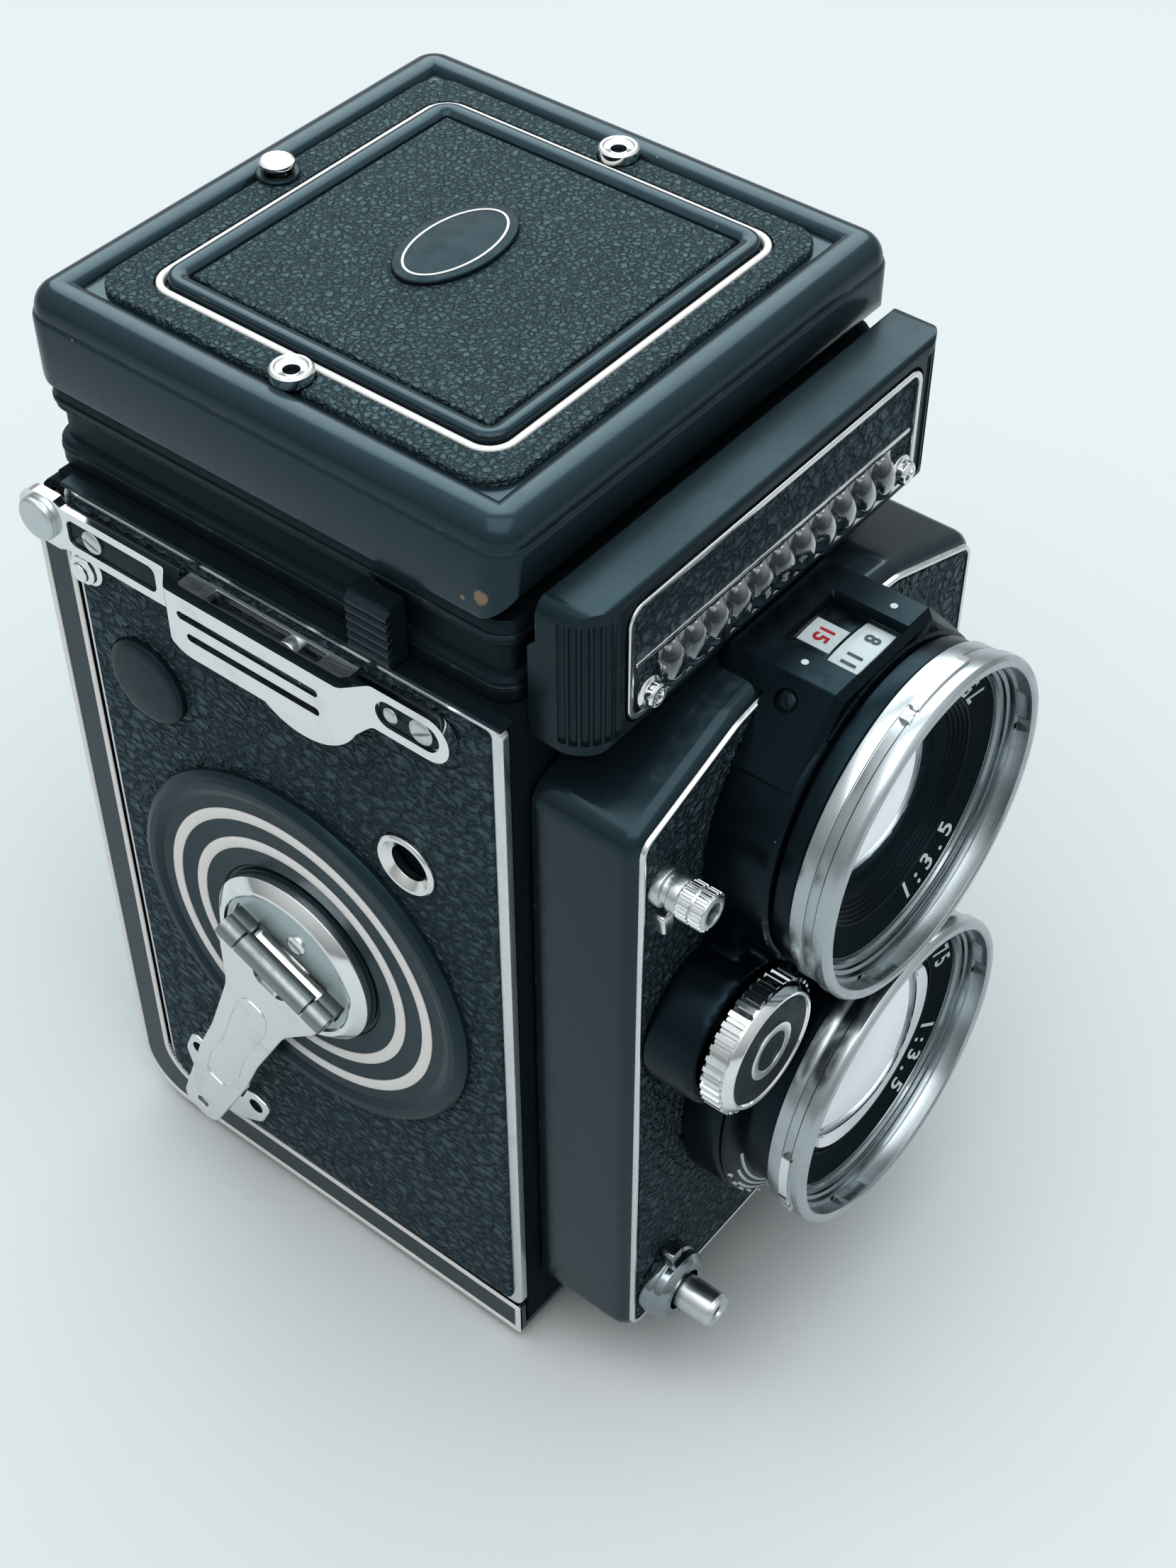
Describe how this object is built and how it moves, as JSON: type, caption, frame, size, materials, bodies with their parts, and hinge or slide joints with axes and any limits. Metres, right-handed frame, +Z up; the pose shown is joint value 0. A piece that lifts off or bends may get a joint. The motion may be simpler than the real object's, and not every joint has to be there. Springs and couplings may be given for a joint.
{
  "type": "twin lens reflex camera",
  "caption": "Boxy medium-format film camera with stacked viewing and taking lenses, folding hood, winding crank, focusing knob and hinged back.",
  "frame": {"origin": "centre of the footprint, on the plane the four feet stand on", "axes": "+Z up, lenses look along -Y, winding crank on the -X side, focusing knob on the +X side"},
  "size_m": [0.1018, 0.1062, 0.1448],
  "materials": {
    "black_paint": "satin to gloss black enamel, worn at the edges",
    "satin_metal": "satin chrome plate",
    "chrome": "bright chrome plate",
    "leather": "pebbled black leatherette",
    "glass": "coated optical glass",
    "mirror": "front-silvered mirror",
    "plastic": "moulded black plastic"
  },
  "bodies": {
    "body": {"body_casting": "black_paint", "light_shield_sleeve": "black_paint", "crank_side_panel": "satin_metal", "crank_side_leather": "leather", "focus_side_panel": "satin_metal", "focus_side_leather": "leather", "reflex_mirror": "mirror", "focusing_screen": "glass", "crank_dish": "black_paint", "counter_window_ring": "chrome", "switch_cap": "black_paint", "crank_rest_clip": "chrome", "strap_bracket_left": "chrome", "strap_bracket_right": "chrome", "back_hinge_pin": "satin_metal", "hood_base": "black_paint", "nameplate_housing": "black_paint", "nameplate_panel": "satin_metal"},
    "take_up": {"take_up_spool": "plastic"},
    "feed": {"feed_spool": "plastic"},
    "counter": {"counter_dial": "satin_metal"},
    "crank": {"crank_boss": "chrome", "crank_hinge_pin": "satin_metal"},
    "lever": {"crank_lever": "chrome"},
    "focus_knob": {"focus_knob": "satin_metal"},
    "speed_dial": {"film_speed_dial": "black_paint"},
    "upper_knob": {"upper_spool_knob": "satin_metal"},
    "lower_knob": {"lower_spool_knob": "satin_metal"},
    "back": {"back_door": "black_paint", "pressure_plate": "black_paint", "tripod_socket": "satin_metal"},
    "latch": {"back_latch": "satin_metal"},
    "lid": {"hood_lid": "black_paint", "sports_finder_door": "leather", "lid_eyelet_left": "chrome", "lid_eyelet_right": "chrome", "magnifier": "glass"},
    "button": {"lid_button": "chrome"},
    "flap_left": {"hood_flap_left": "black_paint"},
    "flap_right": {"hood_flap_right": "black_paint"},
    "flap_rear": {"hood_flap_rear": "black_paint"},
    "catch_left": {"hood_catch_left": "black_paint"},
    "catch_right": {"hood_catch_right": "black_paint"},
    "standard": {"standard_housing": "black_paint", "standard_leather": "leather", "lens_housing": "black_paint", "viewing_barrel": "black_paint", "viewing_bayonet": "satin_metal", "viewing_glass": "glass", "taking_barrel": "black_paint", "taking_bayonet": "satin_metal", "taking_glass": "glass", "flash_socket": "satin_metal"},
    "iris": {"iris_ring": "black_paint"},
    "scale": {"exposure_scale_ring": "satin_metal"},
    "aperture": {"aperture_wheel": "chrome"},
    "shutter_speed": {"speed_wheel": "chrome"},
    "guard": {"release_collar": "satin_metal"},
    "release": {"release_button": "satin_metal"},
    "timer": {"self_timer_lever": "satin_metal"}
  },
  "joints": [
    {"name": "crank_turn", "type": "hinge", "parent": "body", "child": "crank", "pos_m": [-0.00565, 0.0141, 0.0597], "axis": [-1, 0, 0], "range_deg": [0, 270]},
    {"name": "crank_fold", "type": "hinge", "parent": "crank", "child": "lever", "pos_m": [-0.04925, 0.0141, 0.0597], "axis": [0, 0.91, 0.4147], "range_deg": [0, 175]},
    {"name": "take_up_turn", "type": "hinge", "parent": "body", "child": "take_up", "pos_m": [-0.00565, 0.0358, 0.0927], "axis": [-1, 0, 0], "range_deg": [0, 540]},
    {"name": "feed_turn", "type": "hinge", "parent": "body", "child": "feed", "pos_m": [-0.00565, -0.0022, 0.0171], "axis": [-1, 0, 0], "range_deg": [0, 480]},
    {"name": "counter_turn", "type": "hinge", "parent": "body", "child": "counter", "pos_m": [-0.04065, -0.0005, 0.0861], "axis": [-1, 0, 0], "range_deg": [0, 45]},
    {"name": "focus_slide", "type": "slide", "parent": "body", "child": "standard", "axis": [0, -1, 0], "range_m": [0, 0.007]},
    {"name": "focus_knob_turn", "type": "hinge", "parent": "body", "child": "focus_knob", "pos_m": [0.03435, 0.0083, 0.0597], "axis": [1, 0, 0], "range_deg": [0, 270]},
    {"name": "film_speed_turn", "type": "hinge", "parent": "focus_knob", "child": "speed_dial", "pos_m": [0.04135, 0.0083, 0.0597], "axis": [1, 0, 0], "range_deg": [-150, 150]},
    {"name": "upper_knob_pull", "type": "slide", "parent": "body", "child": "upper_knob", "axis": [1, 0, 0], "range_m": [0, 0.006]},
    {"name": "lower_knob_pull", "type": "slide", "parent": "body", "child": "lower_knob", "axis": [1, 0, 0], "range_m": [0, 0.006]},
    {"name": "back_swing", "type": "hinge", "parent": "body", "child": "back", "pos_m": [-0.00565, 0.0499, 0.1139], "axis": [1, 0, 0], "range_deg": [0, 120]},
    {"name": "back_latch_turn", "type": "hinge", "parent": "back", "child": "latch", "pos_m": [-0.00565, -0.0037, 0.0007], "axis": [0, 0, 1], "range_deg": [-60, 0]},
    {"name": "hood_lid_lift", "type": "hinge", "parent": "body", "child": "lid", "pos_m": [-0.00565, -0.0139, 0.1361], "axis": [1, 0, 0], "range_deg": [0, 90]},
    {"name": "flap_left_lift", "type": "hinge", "parent": "body", "child": "flap_left", "pos_m": [-0.03725, 0.0163, 0.1332], "axis": [0, -1, 0], "range_deg": [0, 90]},
    {"name": "flap_right_lift", "type": "hinge", "parent": "body", "child": "flap_right", "pos_m": [0.02595, 0.0163, 0.1332], "axis": [0, 1, 0], "range_deg": [0, 90]},
    {"name": "flap_rear_lift", "type": "hinge", "parent": "body", "child": "flap_rear", "pos_m": [-0.00565, 0.0479, 0.1315], "axis": [-1, 0, 0], "range_deg": [0, 90]},
    {"name": "lid_button_press", "type": "slide", "parent": "lid", "child": "button", "axis": [0, 0, -1], "range_m": [0, 0.0004]},
    {"name": "catch_left_press", "type": "slide", "parent": "body", "child": "catch_left", "axis": [0, 1, 0], "range_m": [0, 0.002]},
    {"name": "catch_right_press", "type": "slide", "parent": "body", "child": "catch_right", "axis": [0, 1, 0], "range_m": [0, 0.002]},
    {"name": "aperture_turn", "type": "hinge", "parent": "standard", "child": "aperture", "pos_m": [-0.02805, -0.0437, 0.0714], "axis": [0, -1, 0], "range_deg": [-140, 140]},
    {"name": "iris_turn", "type": "hinge", "parent": "standard", "child": "iris", "pos_m": [-0.00565, -0.0345, 0.0489], "axis": [0, -1, 0], "range_deg": [-60, 60]},
    {"name": "shutter_speed_turn", "type": "hinge", "parent": "standard", "child": "shutter_speed", "pos_m": [0.01675, -0.0437, 0.0714], "axis": [0, -1, 0], "range_deg": [-150, 150]},
    {"name": "scale_turn", "type": "hinge", "parent": "standard", "child": "scale", "pos_m": [-0.00565, -0.0397, 0.0939], "axis": [0, -1, 0], "range_deg": [-80, 80]},
    {"name": "release_guard_turn", "type": "hinge", "parent": "standard", "child": "guard", "pos_m": [-0.03215, -0.0377, 0.0182], "axis": [0, -1, 0], "range_deg": [0, 90]},
    {"name": "release_press", "type": "slide", "parent": "standard", "child": "release", "axis": [0, 1, 0], "range_m": [0, 0.003]},
    {"name": "self_timer_turn", "type": "hinge", "parent": "standard", "child": "timer", "pos_m": [0.02135, -0.0367, 0.0182], "axis": [0, -1, 0], "range_deg": [0, 85]}
  ],
  "couplings": [
    {"joint": "take_up_turn", "follows": "crank_turn", "ratio": 1.4},
    {"joint": "feed_turn", "follows": "crank_turn", "ratio": 1.2},
    {"joint": "counter_turn", "follows": "crank_turn", "ratio": 0.1},
    {"joint": "focus_knob_turn", "follows": "focus_slide", "rad_per_m": 672.53},
    {"joint": "flap_left_lift", "follows": "hood_lid_lift", "ratio": 1},
    {"joint": "flap_right_lift", "follows": "hood_lid_lift", "ratio": 1},
    {"joint": "flap_rear_lift", "follows": "hood_lid_lift", "ratio": 1},
    {"joint": "iris_turn", "follows": "aperture_turn", "ratio": 0.28},
    {"joint": "scale_turn", "follows": "shutter_speed_turn", "ratio": -0.35}
  ]
}
